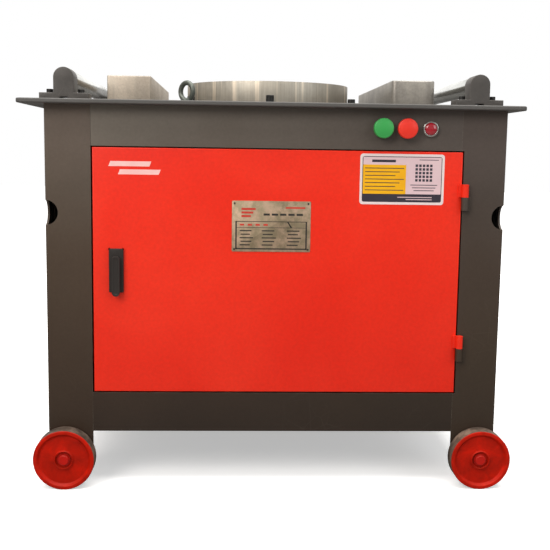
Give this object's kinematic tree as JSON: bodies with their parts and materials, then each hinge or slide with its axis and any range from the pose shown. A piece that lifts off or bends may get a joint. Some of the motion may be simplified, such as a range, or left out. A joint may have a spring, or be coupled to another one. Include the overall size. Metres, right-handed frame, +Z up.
{
  "type": "rebar bender",
  "caption": "Steel reinforcing bar bending machine: wheeled sheet-metal cabinet with a geared turntable disc, pin-seat blocks and side rollers on a flat table, and a red front door.",
  "frame": {"origin": "on the floor under the middle of the table", "axes": "+X to the operator's right along the table, +Y from the door to the rear, +Z up"},
  "size_m": [1, 0.82, 0.842],
  "materials": {
    "frame_paint": "semi-gloss dark warm grey",
    "door_paint": "gloss red",
    "wheel_paint": "worn red, bare tread",
    "machined_steel": "milled and ground",
    "bright_steel": "turned bright",
    "dark_steel": "black oxide",
    "gear_iron": "cast, oiled",
    "gear_steel": "machined, oiled",
    "black_plastic": "matte black",
    "green_plastic": "gloss green",
    "red_plastic": "gloss red",
    "bezel_chrome": "chrome",
    "lamp_red": "translucent red",
    "motor_paint": "semi-gloss blue",
    "belt_rubber": "matte",
    "box_paint": "light grey",
    "plate_metal": "satin",
    "label_vinyl": "vinyl"
  },
  "bodies": {
    "cabinet": {"base_deck": "frame_paint", "bottom_beam_front": "frame_paint", "contact_blocks": "black_plastic", "control_bezels": "bezel_chrome", "control_box": "box_paint", "gearbox_bolts": "dark_steel", "gearbox_cover": "gear_iron", "gearbox_housing": "gear_iron", "hinge_frame_halves": "frame_paint", "lamp_lens": "lamp_red", "lifting_eye": "dark_steel", "motor_body": "motor_paint", "motor_bracket": "frame_paint", "pillow_block_bolts": "dark_steel", "pillow_block_front_left": "frame_paint", "pillow_block_front_right": "frame_paint", "pillow_block_rear_left": "frame_paint", "pillow_block_rear_right": "frame_paint", "post_front_left": "frame_paint", "post_front_right": "frame_paint", "post_rear_left": "frame_paint", "post_rear_right": "frame_paint", "power_gland": "black_plastic", "rear_panel": "frame_paint", "rear_panel_screws": "dark_steel", "roller_shafts": "bright_steel", "seat_block_left": "machined_steel", "seat_block_right": "machined_steel", "shaft_bearings": "gear_steel", "side_panel_left": "frame_paint", "side_panel_right": "frame_paint", "table_cap_screws": "dark_steel", "table_plate": "frame_paint", "top_beam_front": "frame_paint", "v_belts": "belt_rubber", "wheel_axles": "frame_paint"},
    "turntable": {"turntable_disc": "machined_steel", "main_shaft": "bright_steel", "main_gear": "gear_steel"},
    "mid_gear_shaft": {"mid_shaft": "gear_steel", "mid_gear": "gear_steel"},
    "input_gear_shaft": {"input_shaft": "gear_steel", "driven_pulley": "gear_iron"},
    "motor_rotor": {"motor_shaft": "bright_steel", "drive_pulley": "gear_iron"},
    "door": {"door_panel": "door_paint", "hinge_door_halves": "door_paint", "lock_plate": "black_plastic", "nameplate": "plate_metal", "warning_label": "label_vinyl"},
    "lock_turn": {"lock_spindle": "black_plastic"},
    "lock_handle": {"lock_lever": "black_plastic"},
    "green_push": {"green_button": "green_plastic"},
    "red_push": {"red_button": "red_plastic"},
    "roller_left_body": {"roller_left": "bright_steel"},
    "roller_right_body": {"roller_right": "bright_steel"},
    "wheel_front_left_body": {"wheel_front_left": "wheel_paint"},
    "wheel_front_right_body": {"wheel_front_right": "wheel_paint"},
    "wheel_rear_left_body": {"wheel_rear_left": "wheel_paint"},
    "wheel_rear_right_body": {"wheel_rear_right": "wheel_paint"}
  },
  "joints": [
    {"name": "turntable_spin", "type": "hinge", "parent": "cabinet", "child": "turntable", "pos_m": [0, 0, 0.809], "axis": [0, 0, 1], "continuous": true},
    {"name": "mid_shaft_spin", "type": "hinge", "parent": "cabinet", "child": "mid_gear_shaft", "pos_m": [-0.12293, 0.14651, 0.69], "axis": [0, 0, 1], "continuous": true},
    {"name": "input_shaft_spin", "type": "hinge", "parent": "cabinet", "child": "input_gear_shaft", "pos_m": [-0.20825, 0.02466, 0.66], "axis": [0, 0, 1], "continuous": true},
    {"name": "motor_spin", "type": "hinge", "parent": "cabinet", "child": "motor_rotor", "pos_m": [0.25, -0.19, 0.5675], "axis": [0, 0, 1], "continuous": true},
    {"name": "door_hinge", "type": "hinge", "parent": "cabinet", "child": "door", "pos_m": [0.3865, -0.3772, 0.4425], "axis": [0, 0, 1], "range_deg": [0, 120]},
    {"name": "lock_spindle_turn", "type": "hinge", "parent": "door", "child": "lock_turn", "pos_m": [-0.311, -0.37, 0.468], "axis": [0, 1, 0], "range_deg": [0, 90]},
    {"name": "lock_lever_flip", "type": "hinge", "parent": "lock_turn", "child": "lock_handle", "pos_m": [-0.311, -0.3805, 0.468], "axis": [-1, 0, 0], "range_deg": [0, 50]},
    {"name": "green_button_push", "type": "slide", "parent": "cabinet", "child": "green_push", "axis": [0, 1, 0], "range_m": [0, 0.005], "stiffness_N_per_m": 800, "springref_m": -0.003},
    {"name": "red_button_push", "type": "slide", "parent": "cabinet", "child": "red_push", "axis": [0, 1, 0], "range_m": [0, 0.005], "stiffness_N_per_m": 800, "springref_m": -0.003},
    {"name": "roller_left_spin", "type": "hinge", "parent": "cabinet", "child": "roller_left_body", "pos_m": [-0.414, 0, 0.822], "axis": [0, 1, 0], "continuous": true},
    {"name": "roller_right_spin", "type": "hinge", "parent": "cabinet", "child": "roller_right_body", "pos_m": [0.414, 0, 0.822], "axis": [0, 1, 0], "continuous": true},
    {"name": "wheel_front_left_spin", "type": "hinge", "parent": "cabinet", "child": "wheel_front_left_body", "pos_m": [-0.415, -0.392, 0.061], "axis": [0, 1, 0], "continuous": true},
    {"name": "wheel_rear_left_spin", "type": "hinge", "parent": "cabinet", "child": "wheel_rear_left_body", "pos_m": [-0.415, 0.392, 0.061], "axis": [0, 1, 0], "continuous": true},
    {"name": "wheel_front_right_spin", "type": "hinge", "parent": "cabinet", "child": "wheel_front_right_body", "pos_m": [0.433, -0.392, 0.061], "axis": [0, 1, 0], "continuous": true},
    {"name": "wheel_rear_right_spin", "type": "hinge", "parent": "cabinet", "child": "wheel_rear_right_body", "pos_m": [0.433, 0.392, 0.061], "axis": [0, 1, 0], "continuous": true}
  ],
  "couplings": [
    {"joint": "mid_shaft_spin", "follows": "turntable_spin", "ratio": -4},
    {"joint": "input_shaft_spin", "follows": "turntable_spin", "ratio": 16},
    {"joint": "motor_spin", "follows": "turntable_spin", "ratio": 48}
  ]
}
